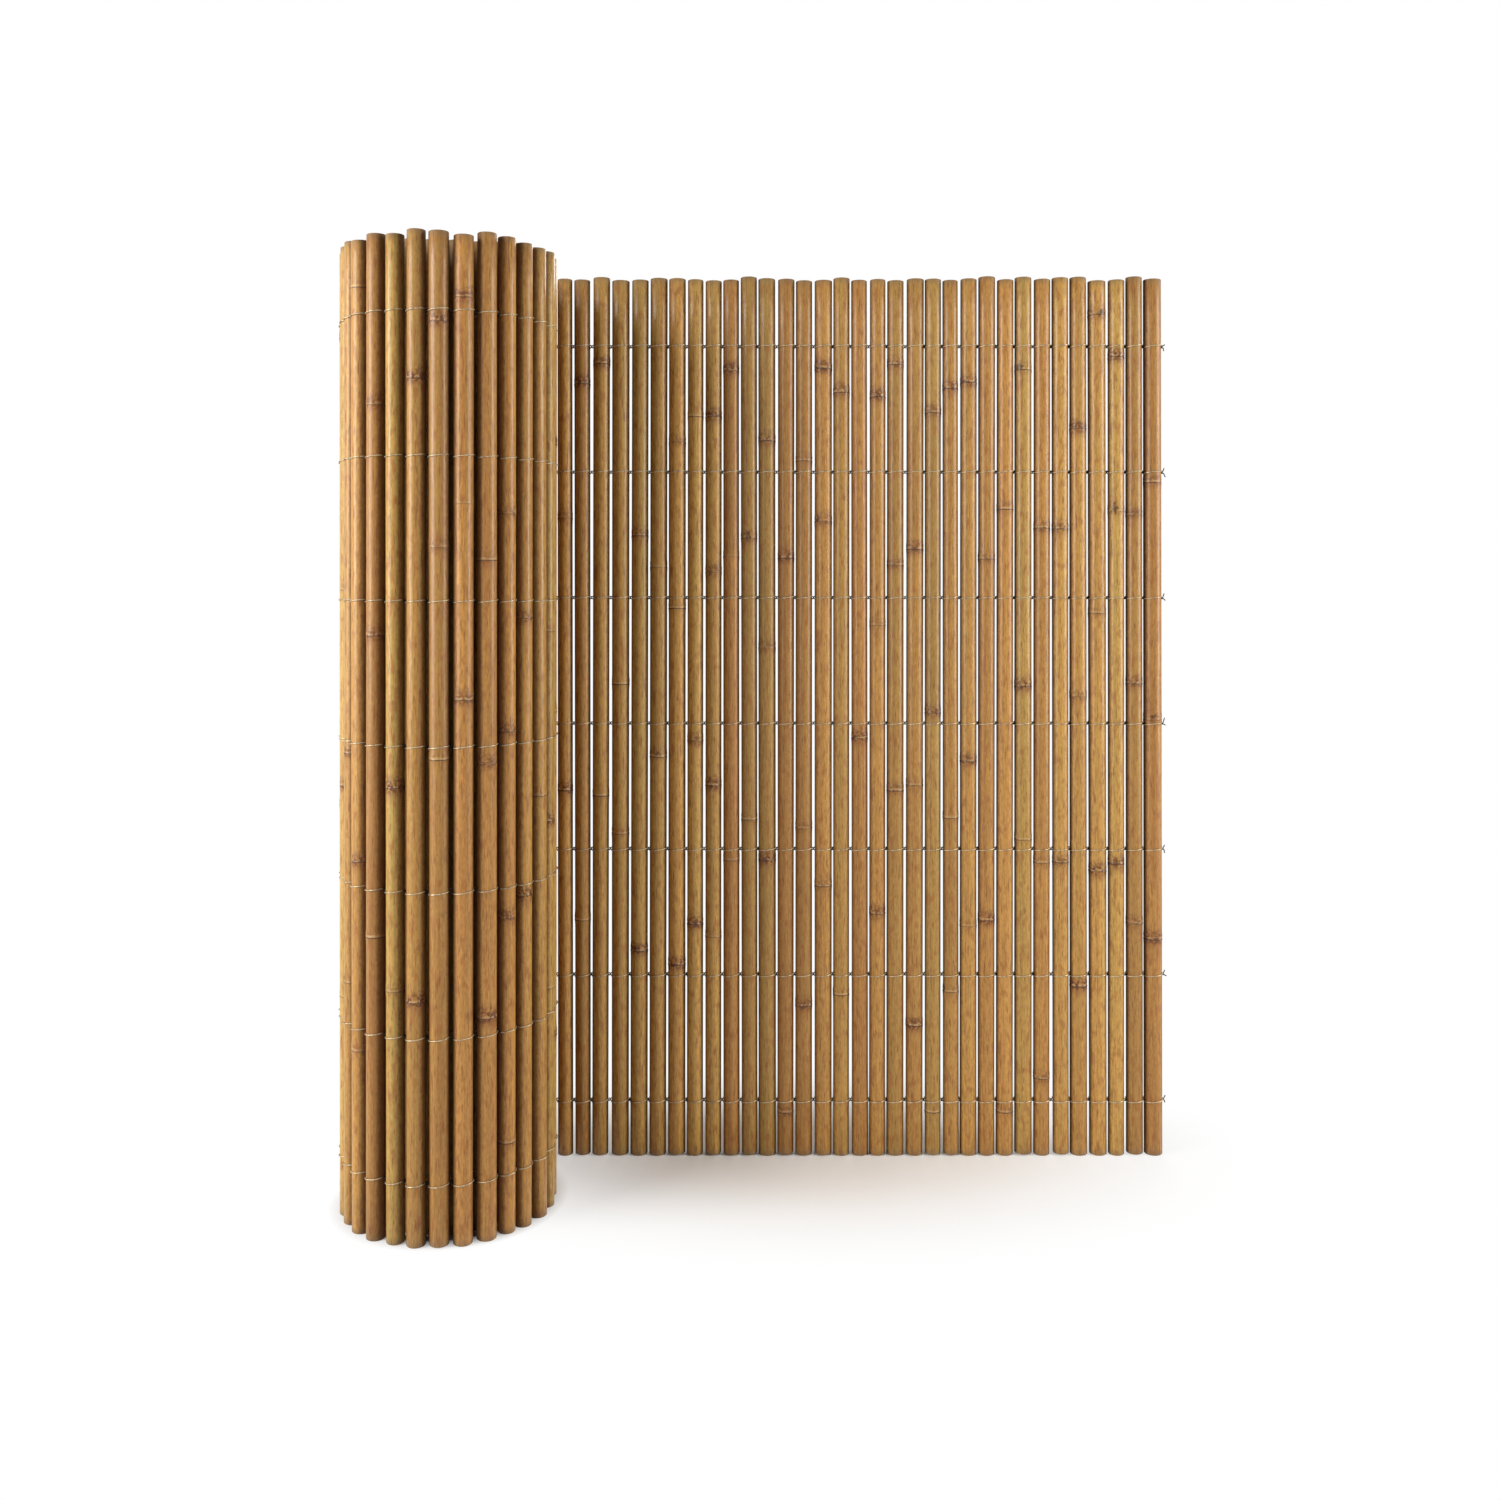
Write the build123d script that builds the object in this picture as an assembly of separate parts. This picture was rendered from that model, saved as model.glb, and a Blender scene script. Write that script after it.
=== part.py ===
from build123d import *
from dataclasses import dataclass
import math
import os
import random

# The mat as it stands on end, partly unrolled
HEIGHT = 1000.0  # floor to the top of the tallest cane
FLAT_LENGTH = 781.0  # middle of the roll to the free edge of the mat
ROLL_DIAMETER = 230.0  # across the roll, over its thickest canes
CORE_DIAMETER = 100.0  # open middle of the roll

# Bamboo canes
THIN_CANE = 16.6  # smallest diameter
THICK_CANE = 21.0  # largest diameter
CANE_SIDES = 8  # flats round a cane, few because canes repeat
TAPER = 0.6  # lost in diameter between butt and tip
NARROW_GAP = 1.3  # least space between neighbours, half way up
WIDE_GAP = 2.9  # most space between neighbours, half way up
ROLL_SLACK = 2.1  # more space between neighbours where the mat bends
LEAN = 0.9  # how far an end may swing along the mat
UNEVEN_TOP = 5.0  # spread of the cut tops
UNEVEN_FOOT = 1.5  # spread of the cut feet
GROWTH_SEED = 23  # picks one growth of canes from all possible ones

# Swollen joints of the bamboo
NODE_SPACING = 520.0  # average length between two swellings
NODE_SPREAD = 180.0  # by how much that length differs either way
NODE_FROM_END = 25.0  # no swelling is nearer to a cut end
NODE_SWELL = 0.35  # height of the swelling over the cane
NODE_BELOW = 4.0  # length of its slope below the crest
NODE_ABOVE = 7.0  # length of its slope above the crest

# Binding wires, two strands to a row
WIRE = 1.2  # diameter of a strand
LOWEST_ROW = 61.0  # floor to the lowest row
ROW_PITCH = 143.3  # height from row to row
SEAT = 0.2  # space between a strand and the canes it holds
WIRE_TAIL = 6.0  # length of a row's end past the last cane

# Worked out from the sizes above
UP = Vector(0, 0, 1)
ROLL_FROM = math.pi / 2  # the roll begins at its back, where the flat stretch meets it
STRAND_OFF = SEAT + WIRE / 2  # middle of a strand from the cane's face
TAKEN_GAP = 2 * NODE_SWELL + TAPER / 2  # most that swellings and taper take of a gap
ROLL_STEP = (THIN_CANE + THICK_CANE + NARROW_GAP + WIDE_GAP) / 2 + ROLL_SLACK
# A straight run of strand over two canes bows this far into the roll
STRAND_BOW = (2 * ROLL_STEP) ** 2 / (8 * (CORE_DIAMETER / 2 + THICK_CANE))
TURN_PITCH = THICK_CANE + 4 * STRAND_OFF + STRAND_BOW
ROLL_START = (ROLL_DIAMETER + TURN_PITCH) / 2 - THICK_CANE  # inner face where the roll begins
WIRE_ROWS = 1 + int((HEIGHT - 2 * LOWEST_ROW) / ROW_PITCH)
ROW_HEIGHTS = [LOWEST_ROW + row * ROW_PITCH for row in range(WIRE_ROWS)]


@dataclass
class Cane:
    """A cane that stands with its inner side on the inner face of the mat."""

    face: Vector  # point of the mat's inner face, half way up
    outward: Vector  # from the inner face of the mat to the outer one
    radius: float  # half way up
    taper: float  # gain in radius from the floor to the top
    lean: float  # swing of the top along the mat
    foot: float
    top: float
    turn: int  # 0 in the flat stretch, then 1, 2 and so on into the roll
    nodes: list

    @property
    def along(self):
        """Direction in which the mat is wound."""
        return UP.cross(self.outward)

    def radius_at(self, z):
        return self.radius + self.taper * (z / HEIGHT - 0.5)

    def face_at(self, z):
        swing = self.lean * (2 * z / HEIGHT - 1)
        return self.face + self.along * swing + UP * z

    def axis_at(self, z):
        return self.face_at(z) + self.outward * self.radius_at(z)


def clear_of_wires(z):
    """Nearest height to z at which a swelling leaves room for the wire rows."""
    row = min(ROW_HEIGHTS, key=lambda height: abs(height - z))
    room = NODE_BELOW + NODE_ABOVE + WIRE
    return z if abs(z - row) > room else row + math.copysign(room, z - row)


def grow_nodes(chance, foot, top):
    """Heights of the swellings on one cane."""
    nodes = []
    z = foot + NODE_FROM_END + NODE_SPACING * chance.random()
    while z < top - NODE_FROM_END:
        nodes.append(clear_of_wires(z))
        z += NODE_SPACING + chance.uniform(-NODE_SPREAD, NODE_SPREAD)
    return nodes


def face_radius(angle):
    """Radius of the mat's inner face in the roll, which closes in from turn to turn."""
    return ROLL_START - TURN_PITCH * (angle - ROLL_FROM) / (2 * math.pi)


def grow_cane(chance, x, angle, radius, lean):
    """Cane of a given radius and lean: x is its place in the flat stretch, angle that in the roll."""
    outward = Vector(math.cos(angle), math.sin(angle))
    turn = math.ceil((angle - ROLL_FROM) / (2 * math.pi))
    foot = UNEVEN_FOOT * max(0.0, chance.uniform(-1, 1))
    top = HEIGHT - UNEVEN_TOP * chance.random()
    nodes = grow_nodes(chance, foot, top)
    return Cane(
        face=Vector(x, 0) + outward * face_radius(angle),
        outward=outward,
        radius=radius,
        taper=chance.choice([-1, 1]) * TAPER / 2,
        lean=lean,
        foot=foot,
        top=top,
        turn=turn,
        # Inner turns are out of sight, so their canes stay plain
        nodes=nodes if turn < 2 else [],
    )


def lay_canes():
    """Canes in order from the free edge along the flat stretch and into the roll."""
    chance = random.Random(GROWTH_SEED)
    canes = []
    x = FLAT_LENGTH
    angle = ROLL_FROM
    step = 0.0
    gap = WIDE_GAP
    lean = 0.0
    draw = chance.random()
    while True:
        # Two draws share each diameter, so neighbours are never far apart in size
        last_draw = draw
        draw = chance.random()
        growth = (THICK_CANE - THIN_CANE - TAPER) * (draw + last_draw) / 2
        radius = (THIN_CANE + TAPER / 2 + growth) / 2

        step += radius
        flat_step = min(step, x)
        x -= flat_step
        angle += (step - flat_step) / (face_radius(angle) + radius)
        if face_radius(angle) < CORE_DIAMETER / 2:
            return canes

        # Neighbours may lean apart or together only by what is left of the gap
        play = gap - TAKEN_GAP
        lean = chance.uniform(max(-LEAN, lean - play), min(LEAN, lean + play))
        canes.append(grow_cane(chance, x, angle, radius, lean))
        gap = chance.uniform(NARROW_GAP, WIDE_GAP)
        step = radius + gap + (ROLL_SLACK if x == 0 else 0)


def cane_section(cane, z, swell=0.0):
    """Cut through a cane, with one corner on each face of the mat."""
    level = Plane(origin=cane.axis_at(z), x_dir=cane.outward, z_dir=UP)
    return level * RegularPolygon(cane.radius_at(z) + swell, CANE_SIDES)


def make_cane(cane):
    """Tapered cane with its swollen joints."""
    sections = [cane_section(cane, cane.foot)]
    for node in cane.nodes:
        sections.append(cane_section(cane, node - NODE_BELOW))
        sections.append(cane_section(cane, node, NODE_SWELL))
        sections.append(cane_section(cane, node + NODE_ABOVE))
    sections.append(cane_section(cane, cane.top))
    return loft(sections, ruled=True)


def strand_hold(cane, z, side):
    """Point where a strand passes a cane: side is 1 on the outer face, -1 on the inner one."""
    if side < 0:
        return cane.face_at(z) - cane.outward * STRAND_OFF
    if cane.turn == 0:
        return cane.face_at(z) + cane.outward * (THICK_CANE + STRAND_OFF)
    return cane.axis_at(z) + cane.outward * (cane.radius_at(z) + STRAND_OFF)


def strand_end(cane, z, side, beyond):
    """Points from a strand's tip, beside its partner, back to the face of the end cane."""
    clear = beyond * (cane.radius_at(z) + STRAND_OFF)
    beside = cane.axis_at(z) + cane.outward * side * STRAND_OFF
    tip = beside + beyond * (cane.radius_at(z) + WIRE_TAIL)
    return [tip, beside + clear, strand_hold(cane, z, side) + clear]


def strand_route(canes, z, side):
    """Points that a strand passes from the free edge of the mat to the core of the roll."""
    first = canes[0]
    last = canes[-1]
    flat_count = sum(cane.turn == 0 for cane in canes)
    # Inside the bend a straight run spans two canes, outside it has to turn at each one
    stride = 1 if side > 0 else 2
    bends = canes[flat_count - 1 :: stride]
    route = strand_end(first, z, side, -first.along)
    route += [strand_hold(cane, z, side) for cane in bends]
    route += reversed(strand_end(last, z, side, last.along))
    return route


def make_strand(route):
    """Wire along a route of straight runs, three-sided because it is thin and long."""
    runs = [(end - start).normalized() for start, end in zip(route, route[1:])]
    sections = []
    for point, before, after in zip(route, runs[:1] + runs, runs + runs[-1:]):
        across = UP.cross(before + after).normalized()
        mitre = across * (WIRE / 2 / across.dot(UP.cross(before)))
        rise = UP * (WIRE / 2)
        corners = [point + mitre, point - mitre + rise, point - mitre - rise]
        sections.append(Face(Wire.make_polygon(corners)))
    return loft(sections, ruled=True)


def make_pieces():
    """Every piece of the mat by name, with the middle of the roll at the origin."""
    canes = lay_canes()
    pieces = {}
    for number, cane in enumerate((cane for cane in canes if cane.turn == 0), start=1):
        pieces[f"panel_cane_{number:02d}"] = make_cane(cane)
    pieces["outer_turn_canes"] = Compound([make_cane(cane) for cane in canes if cane.turn == 1])
    pieces["inner_turn_canes"] = Compound([make_cane(cane) for cane in canes if cane.turn > 1])
    for row, z in enumerate(ROW_HEIGHTS, start=1):
        pieces[f"front_strand_row_{row}"] = make_strand(strand_route(canes, z, side=-1))
        pieces[f"back_strand_row_{row}"] = make_strand(strand_route(canes, z, side=1))
    return pieces


os.makedirs("parts", exist_ok=True)
all_pieces = make_pieces()
box = Compound(list(all_pieces.values())).bounding_box()
to_origin = Pos(-box.center().X, -box.center().Y, -box.min.Z)
for name, piece in all_pieces.items():
    export_step(to_origin * piece, f"parts/{name}.step")
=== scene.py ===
import math
import random
from dataclasses import dataclass, field

import bmesh
import bpy
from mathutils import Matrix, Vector, noise


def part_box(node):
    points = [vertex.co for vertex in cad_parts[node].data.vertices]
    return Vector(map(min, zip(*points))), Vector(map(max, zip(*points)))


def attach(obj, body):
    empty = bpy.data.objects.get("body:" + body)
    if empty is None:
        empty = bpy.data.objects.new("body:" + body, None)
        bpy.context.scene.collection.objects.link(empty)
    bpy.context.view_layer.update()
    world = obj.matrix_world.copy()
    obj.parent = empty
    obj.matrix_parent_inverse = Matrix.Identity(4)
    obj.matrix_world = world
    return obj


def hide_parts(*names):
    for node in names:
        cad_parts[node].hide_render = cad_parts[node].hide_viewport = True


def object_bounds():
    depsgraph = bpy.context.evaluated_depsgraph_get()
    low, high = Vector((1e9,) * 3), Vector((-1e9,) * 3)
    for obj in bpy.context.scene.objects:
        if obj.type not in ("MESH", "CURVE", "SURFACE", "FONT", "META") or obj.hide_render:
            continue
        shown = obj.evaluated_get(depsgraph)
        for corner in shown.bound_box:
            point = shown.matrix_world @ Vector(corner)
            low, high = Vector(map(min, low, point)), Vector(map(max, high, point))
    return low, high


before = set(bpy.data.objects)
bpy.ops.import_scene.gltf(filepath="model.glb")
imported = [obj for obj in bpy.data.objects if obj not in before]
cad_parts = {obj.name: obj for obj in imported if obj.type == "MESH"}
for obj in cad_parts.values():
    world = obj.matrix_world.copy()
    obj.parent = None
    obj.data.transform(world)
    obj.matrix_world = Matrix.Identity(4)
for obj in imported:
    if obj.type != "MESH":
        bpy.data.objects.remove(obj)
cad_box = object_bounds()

MM = 0.001
UP = Vector((0, 0, 1))
WELD = 0.01 * MM  # points nearer than this are one
FAR = 80 * MM  # distances to a joint or an end are marked up to this
GROWTH_SEED = 23  # picks one set of tones, faint joints and wire ends from all possible ones

# Round canes
CANE_SIDES = 24
LONGEST_SPAN = 60 * MM  # between two rings of the mesh
LEAST_SPAN = 1 * MM  # between a ring of a joint and the end of the skin
OVAL = 0.008  # how far a cane is from round
DENTS = 0.05 * MM  # depth of slow unevenness in the skin
DENT_LENGTH = 50 * MM
FULLNESS = (0.99, 1.005)  # of a stretch between two joints, as a share of the cane
TONE_SPREAD = 0.22  # between stretches of one cane, of the whole range of tones

# Joints of the bamboo
LEAST_SWELL = 0.2 * MM  # a ring of the frame that stands out by this is a joint
SCAR_DEPTH = (0.55, 1.0)  # how dark the scars are
FAINT_DEPTH = (0.3, 0.65)
FAINT_JOINT_ROOM = 170 * MM  # a faint joint keeps this far from the others and the ends
FAINT_JOINT_SHARE = 0.6  # of the stretches that have room for one
FAINT_SOOT = 0.7  # of what a full joint has
SOOT_BIAS = 0.7  # under 1 for more dark joints than clean ones
BUD_SHARE = 0.33  # of the joints show a bud eye
BUD_STRENGTH = (0.5, 1.0)
BUD_ABOVE = 3.5 * MM  # middle of the eye over the scar
BUD_WIDTH = 4.2 * MM
BUD_HEIGHT = 5.5 * MM
BUD_RISE = 0.25 * MM
# The rings of the mesh that draw a joint, by distance from its scar
JOINT_RINGS = [d * MM for d in (-14, -8, -4.5, -2.2, -1, -0.4, 0, 0.45, 1, 1.7, 3, 5, 8, 12, 18)]
# How far a joint stands out, by distance from its scar: rise, place and width
JOINT_FORM = [
    (0.30 * MM, 0, 4.5 * MM),  # flare
    (0.14 * MM, 0, 0.6 * MM),  # sharp lip of the scar
    (-0.26 * MM, 1.3 * MM, 0.7 * MM),  # groove
    (0.20 * MM, 4.5 * MM, 2.6 * MM),  # soft upper ridge
]

# Hollow ends
SAW_EDGE = 0.5 * MM  # broken edge of the saw cut
CUT_BANDS = 2  # bands of the mesh at either end that are bare wood: bore and sawn face
BORE_SHARE = (0.42, 0.58)  # bore to cane, smallest and largest
BORE_DEPTH = 45 * MM

# Binding wires
WIRE_RADIUS = 0.6 * MM
WIRE_SIDES = 8
WIRE_SEAT = 0.1 * MM  # space between wire and cane
WIRE_RISE = 1.3 * MM  # a strand climbs twice this on its way over a cane
WRAP_ANGLE = math.radians(66)  # a strand lies on the cane this far to either side
WRAP_STEPS = 8
TWIST_RADIUS = 1.4 * MM
TWIST_START = math.radians(-60)  # 0 is the front of the mat, a quarter turn is up
TWIST_TURN = math.radians(-240)
TWIST_STEPS = 7
TWIST_SHARE = 0.9  # of the gap between two canes
END_TWIST = 2.6 * MM  # length of the twist past an end cane
TAIL_OUT = (0.4 * MM, 2.6 * MM)  # how far the cut ends reach on
TAIL_SPLAY = (0.6 * MM, 5.5 * MM)  # how far they bend up or down
TAIL_STEPS = (0.35, 0.7, 1.0)  # shares of a cut end's length, from the twist to its tip

# Camera, placed from the outer turn of the roll
CAMERA_RIGHT = 318 * MM  # of the middle of the roll
CAMERA_BACK = 1367 * MM  # from the front of the roll
CAMERA_HEIGHT = 660 * MM
IMAGE_SIZE = 1500  # pixels of the photograph, both ways
FOCAL_PIXELS = 1399  # focal length in pixels of the photograph
HORIZON_ROW = 575  # row of the photograph that is level with the camera
SENSOR = 36.0  # width in millimetres

# Studio
SKY_LIGHT = 0.13  # on the object, 1 is the white that the eye sees
SOFTBOXES = {  # place and size in metres, power in watts
    "left_softbox": ((-2.1, -1.08, 1.2), (1.2, 1.9), 67.0),
    "right_softbox": ((2.1, -0.5, 1.1), (0.9, 1.8), 44.0),
    "back_softbox": ((0.7, 2.3, 1.5), (1.4, 1.4), 26.0),
}
FLOOR_REACH = 6.0  # metres to each side
FLOOR_DROP = 0.1 * MM  # below the feet of the canes
SHADOW_MIDDLE = 50 * MM  # right of the object's middle, under the panel
SHADOW_REACH = (530 * MM, 290 * MM)  # half length and half width of the floor that isn't white
SHADOW_CORE = 0.2  # of that reach has no white at all
ROLL_SHADE = (100 * MM, 125 * MM)  # from the middle of the roll: full dark, none


# Canes of the frame


@dataclass
class Joint:
    """A ring-shaped joint of a cane."""

    height: float
    depth: float  # how dark its scar is
    soot: float  # how far it is scorched
    bud: float  # how plain its bud eye is
    bud_angle: float


@dataclass
class Cane:
    """A cane as the frame has it, with the growth that gives it its looks."""

    node: str
    foot: Vector
    top: Vector
    foot_radius: float
    top_radius: float
    swellings: list = field(default_factory=list)  # heights
    joints: list = field(default_factory=list)
    fullness: list = field(default_factory=list)  # of each stretch between joints
    tones: list = field(default_factory=list)  # of each stretch, dark to pale
    hue: float = 0.5  # olive to red
    oval_from: float = 0.0
    bore_share: float = 0.5
    out: Vector = None  # from the front of the mat to its back
    along: Vector = None  # direction in which the mat is wound

    @property
    def middle(self):
        return (self.foot + self.top) / 2

    def share_at(self, z):
        return (z - self.foot.z) / (self.top.z - self.foot.z)

    def axis_at(self, z):
        return self.foot.lerp(self.top, self.share_at(z))

    def radius_at(self, z):
        return self.foot_radius + (self.top_radius - self.foot_radius) * self.share_at(z)

    def stretch_at(self, z):
        """Number of the stretch between joints."""
        return sum(z >= joint.height for joint in self.joints)


def measure_cane(node, points):
    """Cane from the corners of its solid, which lie in level rings."""
    rings = []
    for point in sorted(points, key=lambda point: point.z):
        if rings and point.z - rings[-1][-1].z < WELD:
            rings[-1].append(point)
        else:
            rings.append([point])
    centres = [sum(ring, Vector()) / len(ring) for ring in rings]
    radii = [max((point - centre).length for point in ring) for ring, centre in zip(rings, centres)]
    cane = Cane(node, centres[0], centres[-1], radii[0], radii[-1])
    for centre, radius in zip(centres, radii):
        if radius > cane.radius_at(centre.z) + LEAST_SWELL:
            cane.swellings.append(centre.z)
    return cane


def read_canes(node):
    """The separate canes of one CAD node."""
    solids = bmesh.new()
    solids.from_mesh(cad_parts[node].data)
    bmesh.ops.remove_doubles(solids, verts=solids.verts, dist=WELD)
    canes = []
    for start in solids.verts:
        if start.tag:
            continue
        start.tag = True
        solid = [start]
        for vert in solid:
            for edge in vert.link_edges:
                other = edge.other_vert(vert)
                if not other.tag:
                    other.tag = True
                    solid.append(other)
        canes.append(measure_cane(node, [vert.co.copy() for vert in solid]))
    solids.free()
    return canes


def follow_mat():
    """Every cane in order, from the free edge of the mat to the core of the roll."""
    panel_nodes = sorted(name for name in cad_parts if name.startswith("panel_cane"))
    canes = [read_canes(node)[0] for node in panel_nodes]
    loose = read_canes("outer_turn_canes") + read_canes("inner_turn_canes")
    while loose:
        ahead = 2 * canes[-1].middle - canes[-2].middle
        nearest = min(loose, key=lambda cane: (cane.middle - ahead).xy.length)
        canes.append(nearest)
        loose.remove(nearest)
    for before, cane, after in zip(canes[:1] + canes, canes, canes[1:] + canes[-1:]):
        along = after.middle - before.middle
        along.z = 0
        cane.along = along.normalized()
        cane.out = cane.along.cross(UP)
    return canes


def grow_joint(chance, height, depth, soot):
    """Joint whose scar is as dark as the range allows, and at most so far scorched."""
    return Joint(
        height,
        depth=chance.uniform(*depth),
        soot=soot * chance.random() ** SOOT_BIAS,
        bud=chance.uniform(*BUD_STRENGTH) if chance.random() < BUD_SHARE else 0.0,
        bud_angle=chance.uniform(0, 2 * math.pi),
    )


def grow(cane, chance):
    """Joints, faint ones among them, and the tone and thickness of the stretches between."""
    joints = [grow_joint(chance, z, SCAR_DEPTH, 1.0) for z in cane.swellings]
    stops = [cane.foot.z, *cane.swellings, cane.top.z]
    for low, high in zip(stops, stops[1:]):
        if high - low > 2 * FAINT_JOINT_ROOM and chance.random() < FAINT_JOINT_SHARE:
            z = chance.uniform(low + FAINT_JOINT_ROOM, high - FAINT_JOINT_ROOM)
            joints.append(grow_joint(chance, z, FAINT_DEPTH, FAINT_SOOT))
    cane.joints = sorted(joints, key=lambda joint: joint.height)
    stretches = range(len(joints) + 1)
    tone = chance.random()
    cane.tones = [tone + chance.uniform(-TONE_SPREAD, TONE_SPREAD) for _ in stretches]
    cane.fullness = [chance.uniform(*FULLNESS) for _ in stretches]
    cane.hue = chance.random()
    cane.oval_from = chance.uniform(0, math.pi)
    cane.bore_share = chance.uniform(*BORE_SHARE)


# Meshes


class Mesh:
    """Points, faces and marks of a piece while it is being made."""

    def __init__(self, marks):
        self.points = []
        self.faces = []
        self.finish = []  # of each face, as a place in the list of materials
        self.marks = {name: [] for name in marks}

    def ring(self, points, **marks):
        """Adds a ring of points, and gives their numbers. A mark is one value or one for each point."""
        first = len(self.points)
        self.points.extend(points)
        for name, value in marks.items():
            self.marks[name].extend(value if isinstance(value, list) else [value] * len(points))
        return list(range(first, len(self.points)))

    def band(self, low, high, finish=0):
        """Joins two rings."""
        for corners in zip(low, low[1:] + low[:1], high[1:] + high[:1], high):
            self.faces.append(corners)
            self.finish.append(finish)

    def lid(self, ring, finish=0):
        """Closes a ring."""
        self.faces.append(tuple(ring))
        self.finish.append(finish)

    def piece(self, name, node, slot, materials):
        """Object of the finished mesh that stands for a CAD node."""
        mesh = bpy.data.meshes.new(name)
        mesh.from_pydata(self.points, [], self.faces)
        for material in materials:
            mesh.materials.append(material)
        mesh.polygons.foreach_set("material_index", self.finish)
        mesh.polygons.foreach_set("use_smooth", [True] * len(self.faces))
        for mark, values in self.marks.items():
            mesh.attributes.new(mark, "FLOAT", "POINT").data.foreach_set("value", values)
        made = bpy.data.objects.new(name, mesh)
        bpy.context.scene.collection.objects.link(made)
        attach(made, "root")
        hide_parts(node)


def bell(distance, width):
    """Bell curve, 1 in its middle."""
    return math.exp(-((distance / width) ** 2))


# Canes

# What the points of a cane tell its finish, distances in millimetres
CANE_MARKS = (
    "tone",
    "hue",
    "above_joint",
    "below_joint",
    "joint_depth",
    "joint_soot",
    "bud",
    "to_neighbour",
    "from_end",
)
# Places in the list of a cane's materials
SKIN = 0
SAWN = 1


def cane_heights(cane):
    """Heights of the rings that draw a cane's skin."""
    low = cane.foot.z + SAW_EDGE
    high = cane.top.z - SAW_EDGE
    near_joints = [joint.height + d for joint in cane.joints for d in JOINT_RINGS]
    stops = sorted([low, *(z for z in near_joints if low + LEAST_SPAN < z < high - LEAST_SPAN), high])
    heights = []
    for start, end in zip(stops, stops[1:]):
        spans = max(1, math.ceil((end - start) / LONGEST_SPAN))
        heights += [start + (end - start) * step / spans for step in range(spans)]
    return heights + [high]


def skin_radius(cane, z):
    """Radius of the skin, which swells at joints and differs a little from stretch to stretch."""
    swell = 0.0
    for joint in cane.joints:
        swell += sum(rise * bell(z - joint.height - place, width) for rise, place, width in JOINT_FORM)
    return cane.radius_at(z) * cane.fullness[cane.stretch_at(z)] + swell


def bud_at(cane, angle, z):
    """How much of a bud eye there is at a point of the skin, from 0 to 1."""
    most = 0.0
    for joint in cane.joints:
        above = z - joint.height - BUD_ABOVE
        aside = math.remainder(angle - joint.bud_angle, 2 * math.pi) * cane.radius_at(z)
        most = max(most, joint.bud * bell(above, BUD_HEIGHT) * bell(aside, BUD_WIDTH))
    return most


def joint_marks(cane, z):
    """Distances to the joints below and above a height, and how strongly the nearer one is marked."""
    gaps = [z - joint.height for joint in cane.joints]
    above = min([FAR, *(gap for gap in gaps if gap >= 0)])
    below = min([FAR, *(-gap for gap in gaps if gap <= 0)])
    nearest = min(cane.joints, key=lambda joint: abs(z - joint.height), default=None)
    return {
        "above_joint": above / MM,
        "below_joint": below / MM,
        "joint_depth": nearest.depth if nearest else 0.0,
        "joint_soot": nearest.soot if nearest else 0.0,
    }


def add_cane_ring(mesh, cane, z, radius):
    """Ring round a cane, slightly oval and dented, with its marks."""
    centre = cane.axis_at(z)
    angles = [2 * math.pi * side / CANE_SIDES for side in range(CANE_SIDES)]
    outwards = [Vector((math.cos(angle), math.sin(angle), 0)) for angle in angles]
    buds = [bud_at(cane, angle, z) for angle in angles]
    points = []
    for angle, outward, bud in zip(angles, outwards, buds):
        flat = OVAL * math.sin(angle - cane.oval_from) ** 2
        dent = DENTS * (1 + noise.noise((centre + outward * radius) / DENT_LENGTH)) / 2
        points.append(centre + outward * (radius * (1 - flat) - dent + BUD_RISE * bud))
    return mesh.ring(
        points,
        tone=cane.tones[cane.stretch_at(z)],
        hue=cane.hue,
        bud=buds,
        # How far the skin faces the next cane: there the shade between canes is painted in
        to_neighbour=[abs(outward.dot(cane.along)) for outward in outwards],
        from_end=min(FAR, z - cane.foot.z, cane.top.z - z) / MM,
        **joint_marks(cane, z),
    )


def add_cane(mesh, cane):
    """One closed cane: bore of the foot, skin, and bore of the top."""
    bore = cane.bore_share * min(cane.foot_radius, cane.top_radius)
    heights = cane_heights(cane)
    foot, top = cane.foot.z, cane.top.z
    outline = [(foot + BORE_DEPTH, bore), (foot, bore), (foot, skin_radius(cane, heights[0]) - SAW_EDGE)]
    outline += [(z, skin_radius(cane, z)) for z in heights]
    outline += [(top, skin_radius(cane, heights[-1]) - SAW_EDGE), (top, bore), (top - BORE_DEPTH, bore)]
    rings = [add_cane_ring(mesh, cane, z, radius) for z, radius in outline]
    bands = list(zip(rings, rings[1:]))
    for number, (low, high) in enumerate(bands):
        bands_to_end = min(number, len(bands) - 1 - number)
        mesh.band(low, high, finish=SAWN if bands_to_end < CUT_BANDS else SKIN)
    mesh.lid(rings[0][::-1], finish=SAWN)
    mesh.lid(rings[-1], finish=SAWN)


# Binding wires

WIRE_MARKS = ("twisted",)


def twist(centre, along, out, length, side):
    """Points of one strand where the two wind round each other between canes."""
    points = []
    for step in range(TWIST_STEPS):
        share = step / (TWIST_STEPS - 1)
        turned = TWIST_START + TWIST_TURN * share + (math.pi if side > 0 else 0)
        from_middle = UP * math.sin(turned) - out * math.cos(turned)
        points.append(centre + along * length * (share - 0.5) + from_middle * TWIST_RADIUS)
    return points


def wrap(cane, z, side):
    """Points of one strand where it lies on a cane."""
    hold = cane.radius_at(z) + WIRE_SEAT + WIRE_RADIUS
    points = []
    for step in range(WRAP_STEPS):
        share = 2 * step / (WRAP_STEPS - 1) - 1
        angle = WRAP_ANGLE * share
        toward = cane.out * side * math.cos(angle) + cane.along * math.sin(angle)
        points.append(cane.axis_at(z) + toward * hold + UP * WIRE_RISE * side * share)
    return points


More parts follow.
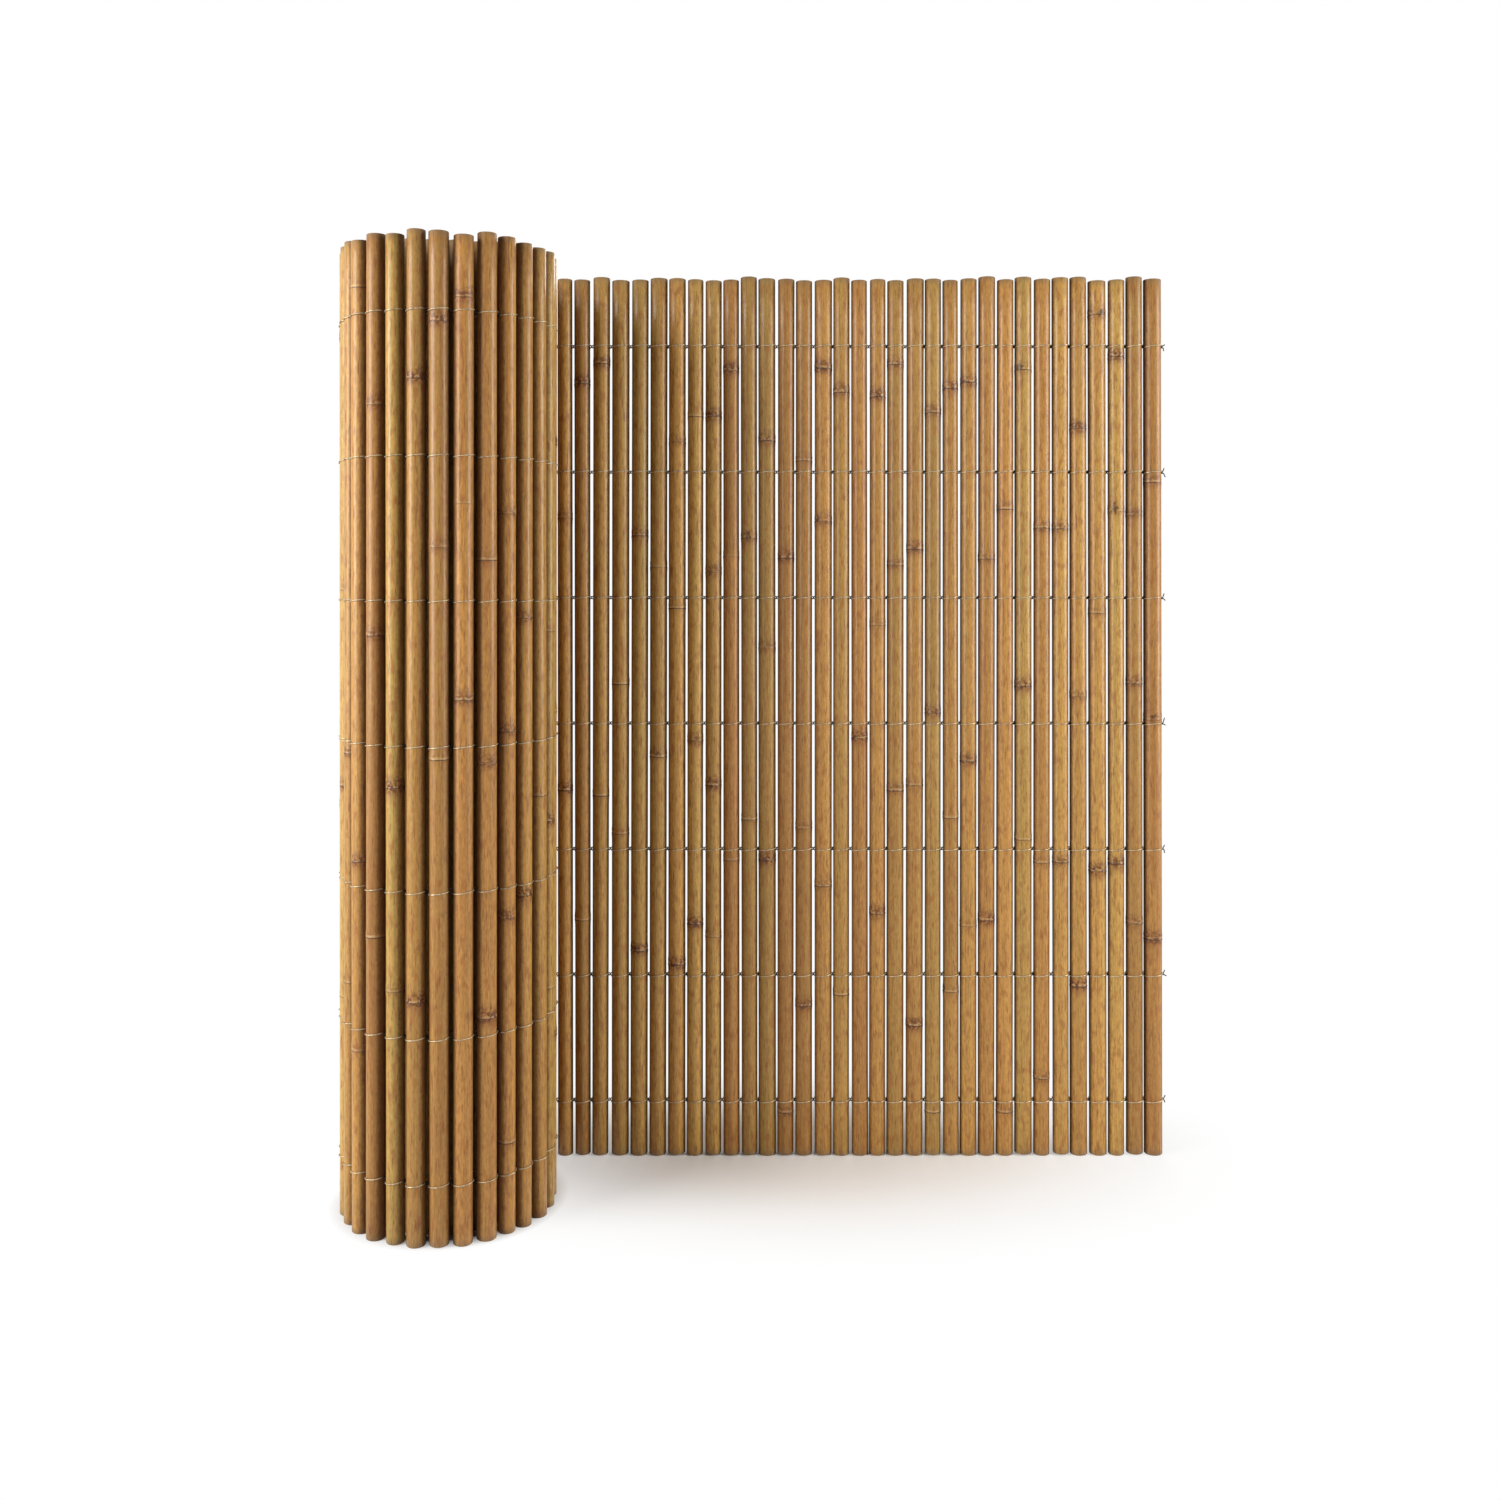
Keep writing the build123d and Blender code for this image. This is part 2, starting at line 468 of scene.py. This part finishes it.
def tail(cane, z, side, beyond, chance):
    """Points from an end cane to the strand's tip: a last twist, then the cut end bends away."""
    edge = cane.axis_at(z) + beyond * (cane.radius_at(z) + WIRE_SEAT)
    points = twist(edge + beyond * END_TWIST / 2, cane.along, cane.out, END_TWIST, side)
    if beyond.dot(cane.along) < 0:
        points.reverse()
    start = points[-1]
    lift = UP if start.z > z else -UP
    bend = beyond * chance.uniform(*TAIL_OUT) + lift * chance.uniform(*TAIL_SPLAY)
    return points + [start + bend * share for share in TAIL_STEPS]


def strand_stretches(canes, z, side, chance):
    """Line of a strand, by turns between canes and on one: side is -1 in front, 1 at the back."""
    stretches = [tail(canes[0], z, side, -canes[0].along, chance)[::-1]]
    for cane, after in zip(canes, canes[1:]):
        stretches.append(wrap(cane, z, side))
        step = after.axis_at(z) - cane.axis_at(z)
        gap = step.length - cane.radius_at(z) - after.radius_at(z)
        along = step.normalized()
        centre = cane.axis_at(z) + along * (cane.radius_at(z) + gap / 2)
        stretches.append(twist(centre, along, along.cross(UP).normalized(), gap * TWIST_SHARE, side))
    stretches.append(wrap(canes[-1], z, side))
    stretches.append(tail(canes[-1], z, side, canes[-1].along, chance))
    return stretches


def add_strand(mesh, stretches):
    """Round wire along a line of points, turned as little as possible from point to point."""
    points = [point for stretch in stretches for point in stretch]
    twisted = [1.0 - number % 2 for number, stretch in enumerate(stretches) for _ in stretch]
    angles = [2 * math.pi * side / WIRE_SIDES for side in range(WIRE_SIDES)]
    rings = []
    across = UP
    for before, point, after, mark in zip(points[:1] + points, points, points[1:] + points[-1:], twisted):
        heading = (after - before).normalized()
        across = (across - heading * across.dot(heading)).normalized()
        beside = heading.cross(across)
        ring = [point + (across * math.cos(a) + beside * math.sin(a)) * WIRE_RADIUS for a in angles]
        rings.append(mesh.ring(ring, twisted=mark))
    for low, high in zip(rings, rings[1:]):
        mesh.band(low, high)
    mesh.lid(rings[0][::-1])
    mesh.lid(rings[-1])


# Finishes

# Pattern sizes in bamboo: width and length in millimetres, and detail
BAMBOO_PATTERNS = {
    "fibre": (1.2, 45.0, 4.0),  # finer in nature, drawn this wide so that it shows
    "dash": (1.5, 16.0, 2.0),
    "speck": (1.8, 5.0, 3.0),
    "streak": (5.0, 260.0, 3.0),  # slow change of hue along a cane
    "blotch": (5.0, 13.0, 4.0),
    "smudge": (3.2, 3.0, 4.0),  # breaks up soot and the edges of marks
    "scratch": (2.4, 34.0, 2.0),
}
PATTERN_RANGE = (0.3, 0.7)  # where most values of a pattern lie
# Hues of the canes from olive to red, by their place from 0 to 1
BAMBOO_HUES = [(0.2, "#B0904A"), (0.42, "#B98D47"), (0.62, "#B58442"), (0.85, "#A8733A")]
STREAK_SHARE = 0.55  # of a hue comes from streaks, the rest is the cane's own
# How far the edge of a mark wavers: millimetres at joints and ends, shares at the others
EDGE_WAVER = {"above_joint": 1.1, "below_joint": 1.1, "from_end": 1.1, "bud": 1.3, "to_neighbour": 0.2}
SIDE_SHADE_EDGE = (1.08, 0.72)  # of the wavering mark to_neighbour: full painted shade, none
# Roughness of the sides that carry the painted shade between canes
SIDE_SHADE_ROUGHNESS = 0.85
SKIN_ROUGHNESS = (0.42, 0.28)  # between the fibres and on them
FIBRE_RELIEF = 0.15 * MM
FIBRE_BUNDLE = 0.9 * MM  # dots of the sawn face, drawn larger than they are so that they show
BORE_SHADE_DEPTHS = (0.5, 20.0)  # millimetres from the cut where the painted shade in the bore starts and where it is darkest
ZINC_PATCH = 2.5 * MM
ZINC_ROUGHNESS = (0.6, 0.38)  # on patches that have gone darker and on pale ones
TWIST_SHADE = 0.95  # of the zinc is painted near black as shade where strands are twisted
# Sockets of a mix node that are for colours, which share their names with others
COLOUR_A = 6
COLOUR_B = 7
MIXED_COLOUR = 2


def colour(text):
    """Linear colour of an sRGB hex value."""
    channels = [int(text[i : i + 2], 16) / 255 for i in (1, 3, 5)]
    return [c / 12.92 if c <= 0.04045 else ((c + 0.055) / 1.055) ** 2.4 for c in channels] + [1.0]


def add(tree, kind, inputs=None, output=0, ramp=None, **settings):
    """Adds a node and gives an output: inputs are values or sockets, ramp is stops and colours."""
    made = tree.nodes.new(kind)
    for name, value in settings.items():
        setattr(made, name, value)
    for name, value in (inputs or {}).items():
        if isinstance(value, bpy.types.NodeSocket):
            tree.links.new(value, made.inputs[name])
        else:
            made.inputs[name].default_value = value
    for number, (position, shade) in enumerate(ramp or []):
        stops = made.color_ramp.elements
        # A new ramp has two stops already
        stop = stops[number] if number < 2 else stops.new(position)
        stop.position = position
        stop.color = colour(shade)
    return made.outputs[output] if made.outputs else None


def new_material(name):
    """Empty material and its tree of nodes."""
    material = bpy.data.materials.new(name)
    material.use_nodes = True
    material.node_tree.nodes.clear()
    return material, material.node_tree


def bamboo_patterns(tree):
    """Noise drawn out along the cane, by name."""
    place = add(tree, "ShaderNodeTexCoord", output="Object")
    pattern = {}
    for name, (width, length, detail) in BAMBOO_PATTERNS.items():
        repeats = (1 / (width * MM), 1 / (width * MM), 1 / (length * MM))
        drawn_out = add(tree, "ShaderNodeVectorMath", {0: place, 1: repeats}, operation="MULTIPLY")
        grain = {"Vector": drawn_out, "Scale": 1.0, "Detail": detail}
        pattern[name] = add(tree, "ShaderNodeTexNoise", grain)
    return pattern


def marks_of_mesh(tree, smudge):
    """Marks that the mesh of a cane carries, by name, with wavering edges."""
    mark = {}
    for name in CANE_MARKS:
        mark[name] = add(tree, "ShaderNodeAttribute", output="Fac", attribute_name=name)
    for name, waver in EDGE_WAVER.items():
        wavering = {0: smudge, 1: waver, 2: mark[name]}
        mark[name] = add(tree, "ShaderNodeMath", wavering, operation="MULTIPLY_ADD")
    return mark


def clean_bamboo(tree, mark, pattern):
    """Colour of the skin before stains: hue of the cane with streaks of others, lighter and darker."""
    hue = add(tree, "ShaderNodeMix", {"Factor": STREAK_SHARE, "A": mark["hue"], "B": pattern["streak"]})
    base = add(tree, "ShaderNodeValToRGB", {"Fac": hue}, ramp=BAMBOO_HUES)
    # What makes parts darker and paler, its range, and how dark and pale they get
    shades = [
        (mark["tone"], 0.0, 1.0, 0.82, 1.17),
        (pattern["fibre"], *PATTERN_RANGE, 0.82, 1.13),
        (pattern["speck"], *PATTERN_RANGE, 0.87, 1.13),
    ]
    for driver, low, high, dark, pale in shades:
        shade = add(
            tree,
            "ShaderNodeMapRange",
            {"Value": driver, "From Min": low, "From Max": high, "To Min": dark, "To Max": pale},
        )
        base = add(
            tree,
            "ShaderNodeMix",
            {"Factor": 1.0, COLOUR_A: base, COLOUR_B: shade},
            output=MIXED_COLOUR,
            data_type="RGBA",
            blend_type="MULTIPLY",
        )
    return base


def stained_and_shaded_bamboo(tree, base, mark, pattern):
    """Colour of the skin with its stains and the painted shade between canes laid over one another."""
    above = mark["above_joint"]
    below = mark["below_joint"]
    near = add(tree, "ShaderNodeMath", {0: above, 1: below}, operation="MINIMUM")
    scorched = (mark["joint_soot"], 1.0, 0.0)
    scarred = (mark["joint_depth"], 1.0, 0.0)
    spots = (pattern["smudge"], 0.58, 0.42)
    # From the lowest to the topmost: colour, strength, and what drives each of them with the
    # value where it is full and the value where it ends
    stain_and_shade_layers = [
        ("#985A2A", 0.6, [(pattern["blotch"], 0.7, 0.48)]),  # ruddy blotches
        ("#74441C", 0.6, [(pattern["dash"], 0.7, 0.56)]),  # short dark strokes
        ("#6E4420", 0.55, [(pattern["scratch"], 0.74, 0.66)]),  # rubbed lines
        ("#8A5226", 0.5, [(near, 2.0, 15.0), scorched]),  # brown haze round a joint
        ("#D6B27C", 0.5, [(above, 2.4, 4.2), scarred]),  # pale line over the scar
        ("#5C3016", 1.0, [(above, 1.5, 18.0), spots, scorched]),  # soot above the scar
        ("#5C3016", 1.0, [(below, 0.6, 9.0), spots, scorched]),  # soot below it
        ("#452410", 0.75, [(mark["bud"], 1.3, 0.85)]),  # bud eye
        ("#43230F", 1.0, [(near, 0.6, 1.5), scarred]),  # the scar itself
        ("#7D6A50", 0.5, [(mark["from_end"], 0.8, 9.0)]),  # grey next to a sawn end
        ("#3C1A08", 0.6, [(mark["to_neighbour"], *SIDE_SHADE_EDGE)]),  # painted shade between canes, on the sides that face the next cane
    ]
    for layer_colour, strength, drivers in stain_and_shade_layers:
        for driver, full, none in drivers:
            fade = add(
                tree,
                "ShaderNodeMapRange",
                {"Value": driver, "From Min": full, "From Max": none, "To Min": 1.0, "To Max": 0.0},
                interpolation_type="SMOOTHSTEP",
            )
            strength = add(tree, "ShaderNodeMath", {0: strength, 1: fade}, operation="MULTIPLY")
        base = add(
            tree,
            "ShaderNodeMix",
            {"Factor": strength, COLOUR_A: base, COLOUR_B: colour(layer_colour)},
            output=MIXED_COLOUR,
            data_type="RGBA",
        )
    return base


def skin_roughness(tree, mark, pattern):
    """Soft gloss on the skin, none on the sides that face the next cane, where shade is painted."""
    low, high = PATTERN_RANGE
    dull, glossy = SKIN_ROUGHNESS
    waxy = add(
        tree,
        "ShaderNodeMapRange",
        {"Value": pattern["fibre"], "From Min": low, "From Max": high, "To Min": dull, "To Max": glossy},
    )
    full, none = SIDE_SHADE_EDGE
    side = {"Value": mark["to_neighbour"], "From Min": none, "From Max": full}
    side_shade = add(tree, "ShaderNodeMapRange", side)
    return add(tree, "ShaderNodeMix", {"Factor": side_shade, "A": waxy, "B": SIDE_SHADE_ROUGHNESS})


def bamboo_skin():
    """Dried bamboo, its waxy skin left on: honey to olive canes, fine lengthwise fibres, soft
    gloss, dark scars, bud eyes and scorched smudges at the joints, grey at the sawn ends, and
    painted shade, dark and matt, on the sides where canes stand side by side."""
    material, tree = new_material("dried_bamboo_skin")
    pattern = bamboo_patterns(tree)
    mark = marks_of_mesh(tree, pattern["smudge"])
    clean = clean_bamboo(tree, mark, pattern)
    fibres = {"Height": pattern["fibre"], "Strength": 0.25, "Distance": FIBRE_RELIEF}
    skin = add(
        tree,
        "ShaderNodeBsdfPrincipled",
        {
            "Base Color": stained_and_shaded_bamboo(tree, clean, mark, pattern),
            "Roughness": skin_roughness(tree, mark, pattern),
            "Normal": add(tree, "ShaderNodeBump", fibres),
            "IOR": 1.45,
            "Specular IOR Level": 0.45,
        },
    )
    add(tree, "ShaderNodeOutputMaterial", {"Surface": skin})
    return material


def sawn_bamboo():
    """Sawn end of a bamboo cane: pale straw wall with dark dots of fibre bundles, and painted shade that
    darkens the bore deeper in.
    """
    material, tree = new_material("sawn_bamboo_end")
    place = add(tree, "ShaderNodeTexCoord", output="Object")
    bundles = add(tree, "ShaderNodeTexNoise", {"Vector": place, "Scale": 1 / FIBRE_BUNDLE})
    wall = add(tree, "ShaderNodeValToRGB", {"Fac": bundles}, ramp=[(0.35, "#7C6140"), (0.6, "#BFA273")])
    depth = add(tree, "ShaderNodeAttribute", output="Fac", attribute_name="from_end")
    light, dark = BORE_SHADE_DEPTHS
    # Painted shade: the bore is darkened deeper in, where less light reaches
    dim = add(tree, "ShaderNodeMapRange", {"Value": depth, "From Min": light, "From Max": dark})
    bore = {"Factor": dim, COLOUR_A: wall, COLOUR_B: colour("#4A3420")}
    inside = add(tree, "ShaderNodeMix", bore, output=MIXED_COLOUR, data_type="RGBA")
    end = add(tree, "ShaderNodeBsdfPrincipled", {"Base Color": inside, "Roughness": 0.8})
    add(tree, "ShaderNodeOutputMaterial", {"Surface": end})
    return material


def galvanised_wire():
    """Galvanised steel binding wire: dull pale zinc with patches gone darker, soft gloss, and
    painted shade, near black, where the two strands are twisted together between canes."""
    material, tree = new_material("galvanised_steel_wire")
    place = add(tree, "ShaderNodeTexCoord", output="Object")
    patches = add(tree, "ShaderNodeTexNoise", {"Vector": place, "Scale": 1 / ZINC_PATCH, "Detail": 3.0})
    zinc = add(tree, "ShaderNodeValToRGB", {"Fac": patches}, ramp=[(0.35, "#95846A"), (0.6, "#CBB895")])
    twisted = add(tree, "ShaderNodeAttribute", output="Fac", attribute_name="twisted")
    # Painted shade: the twists in the gaps between canes are darkened almost to black
    twist_shade = add(tree, "ShaderNodeMath", {0: twisted, 1: TWIST_SHADE}, operation="MULTIPLY")
    shaded_twist = {"Factor": twist_shade, COLOUR_A: zinc, COLOUR_B: colour("#1E150D")}
    shaded_zinc = add(tree, "ShaderNodeMix", shaded_twist, output=MIXED_COLOUR, data_type="RGBA")
    dull, glossy = ZINC_ROUGHNESS
    rough = add(tree, "ShaderNodeMapRange", {"Value": patches, "To Min": dull, "To Max": glossy})
    steel = {"Base Color": shaded_zinc, "Roughness": rough, "Metallic": 0.7}
    wire = add(tree, "ShaderNodeBsdfPrincipled", steel)
    add(tree, "ShaderNodeOutputMaterial", {"Surface": wire})
    return material


# Studio


def seen_directly(tree):
    """1 for what the eye sees itself, in a reflection or through glass."""
    seen = add(tree, "ShaderNodeLightPath", output="Is Camera Ray")
    for way in ("Is Glossy Ray", "Is Transmission Ray"):
        other = add(tree, "ShaderNodeLightPath", output=way)
        seen = add(tree, "ShaderNodeMath", {0: seen, 1: other}, operation="MAXIMUM")
    return seen


def studio_floor(shadow_middle, roll_middle):
    """Matt painted board: pale, keeps the shadow under the mat and runs out to white."""
    material, tree = new_material("matt_white_board")
    place = add(tree, "ShaderNodeNewGeometry", output="Position")
    from_shadow = add(tree, "ShaderNodeVectorMath", {0: place, 1: shadow_middle}, operation="SUBTRACT")
    per_reach = (1 / SHADOW_REACH[0], 1 / SHADOW_REACH[1], 0)
    scaled = add(tree, "ShaderNodeVectorMath", {0: from_shadow, 1: per_reach}, operation="MULTIPLY")
    away = add(tree, "ShaderNodeVectorMath", {0: scaled}, output="Value", operation="LENGTH")
    white = add(
        tree,
        "ShaderNodeMapRange",
        {"Value": away, "From Min": SHADOW_CORE},
        interpolation_type="SMOOTHSTEP",
    )
    # Inside the roll it stays dark
    to_roll = {0: place, 1: roll_middle}
    from_roll = add(tree, "ShaderNodeVectorMath", to_roll, output="Value", operation="DISTANCE")
    shaded, lit = ROLL_SHADE
    outside = add(tree, "ShaderNodeMapRange", {"Value": from_roll, "From Min": shaded, "From Max": lit})
    for factor in (outside, seen_directly(tree)):
        white = add(tree, "ShaderNodeMath", {0: white, 1: factor}, operation="MULTIPLY")
    board = add(tree, "ShaderNodeBsdfDiffuse", {"Color": colour("#F6F5F2")})
    glow = add(tree, "ShaderNodeEmission", {"Color": colour("#FFFFFF"), "Strength": 1.0})
    mixed = add(tree, "ShaderNodeMixShader", {0: white, 1: board, 2: glow})
    add(tree, "ShaderNodeOutputMaterial", {"Surface": mixed})
    return material


def make_floor():
    """Floor just below the feet of the canes, with its shadow under the panel."""
    low, high = cad_box
    shadow_middle = Vector(((low.x + high.x) / 2 + SHADOW_MIDDLE, high.y, 0))
    roll_low, roll_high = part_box("outer_turn_canes")
    roll_middle = (roll_low + roll_high) / 2
    roll_middle.z = 0
    corners = [(-1, -1), (1, -1), (1, 1), (-1, 1)]
    points = [(x * FLOOR_REACH, y * FLOOR_REACH, -FLOOR_DROP) for x, y in corners]
    mesh = bpy.data.meshes.new("studio_floor")
    mesh.from_pydata(points, [], [(0, 1, 2, 3)])
    mesh.materials.append(studio_floor(shadow_middle, roll_middle))
    floor = bpy.data.objects.new("studio_floor", mesh)
    bpy.context.scene.collection.objects.link(floor)


def make_sky():
    """White to the eye and in reflections, a plain dim light on the object."""
    world = bpy.data.worlds.new("studio")
    bpy.context.scene.world = world
    world.use_nodes = True
    tree = world.node_tree
    tree.nodes.clear()
    dim = add(tree, "ShaderNodeBackground", {"Color": colour("#FFFFFF"), "Strength": SKY_LIGHT})
    white = add(tree, "ShaderNodeBackground", {"Color": colour("#FFFFFF"), "Strength": 1.0})
    mixed = add(tree, "ShaderNodeMixShader", {0: seen_directly(tree), 1: dim, 2: white})
    add(tree, "ShaderNodeOutputWorld", {"Surface": mixed})


def make_lamps():
    """Softboxes that all point at the middle of the object."""
    low, high = cad_box
    middle = (low + high) / 2
    for name, (place, size, power) in SOFTBOXES.items():
        lamp = bpy.data.lights.new(name, "AREA")
        lamp.shape = "RECTANGLE"
        lamp.size, lamp.size_y = size
        lamp.energy = power
        softbox = bpy.data.objects.new(name, lamp)
        softbox.location = place
        softbox.rotation_euler = (middle - Vector(place)).to_track_quat("-Z", "Y").to_euler()
        bpy.context.scene.collection.objects.link(softbox)


def make_camera():
    """Level camera that faces the panel squarely, with the frame shifted down as in the photograph."""
    low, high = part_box("outer_turn_canes")
    lens = bpy.data.cameras.new("camera")
    lens.sensor_width = SENSOR
    lens.lens = SENSOR * FOCAL_PIXELS / IMAGE_SIZE
    lens.shift_y = (HORIZON_ROW - IMAGE_SIZE / 2) / IMAGE_SIZE
    camera = bpy.data.objects.new("camera", lens)
    camera.location = ((low.x + high.x) / 2 + CAMERA_RIGHT, low.y - CAMERA_BACK, CAMERA_HEIGHT)
    camera.rotation_euler = (math.pi / 2, 0, 0)
    bpy.context.scene.collection.objects.link(camera)
    bpy.context.scene.camera = camera


# The mat


def make_mat():
    """Every cane and strand, each in place of its CAD node."""
    chance = random.Random(GROWTH_SEED)
    canes = follow_mat()
    for cane in canes:
        grow(cane, chance)

    cane_finish = [bamboo_skin(), sawn_bamboo()]
    meshes = {}
    for cane in canes:
        add_cane(meshes.setdefault(cane.node, Mesh(CANE_MARKS)), cane)
    for node, mesh in meshes.items():
        mesh.piece(f"{node}_bamboo", node, "bamboo", cane_finish)

    wire_finish = [galvanised_wire()]
    for node in sorted(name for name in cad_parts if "_strand_row_" in name):
        low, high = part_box(node)
        side = -1 if node.startswith("front") else 1
        mesh = Mesh(WIRE_MARKS)
        add_strand(mesh, strand_stretches(canes, (low.z + high.z) / 2, side, chance))
        mesh.piece(f"{node}_wire", node, "binding_wire", wire_finish)


make_mat()
make_floor()
make_sky()
make_lamps()
make_camera()
bpy.context.scene.view_settings.view_transform = "Standard"
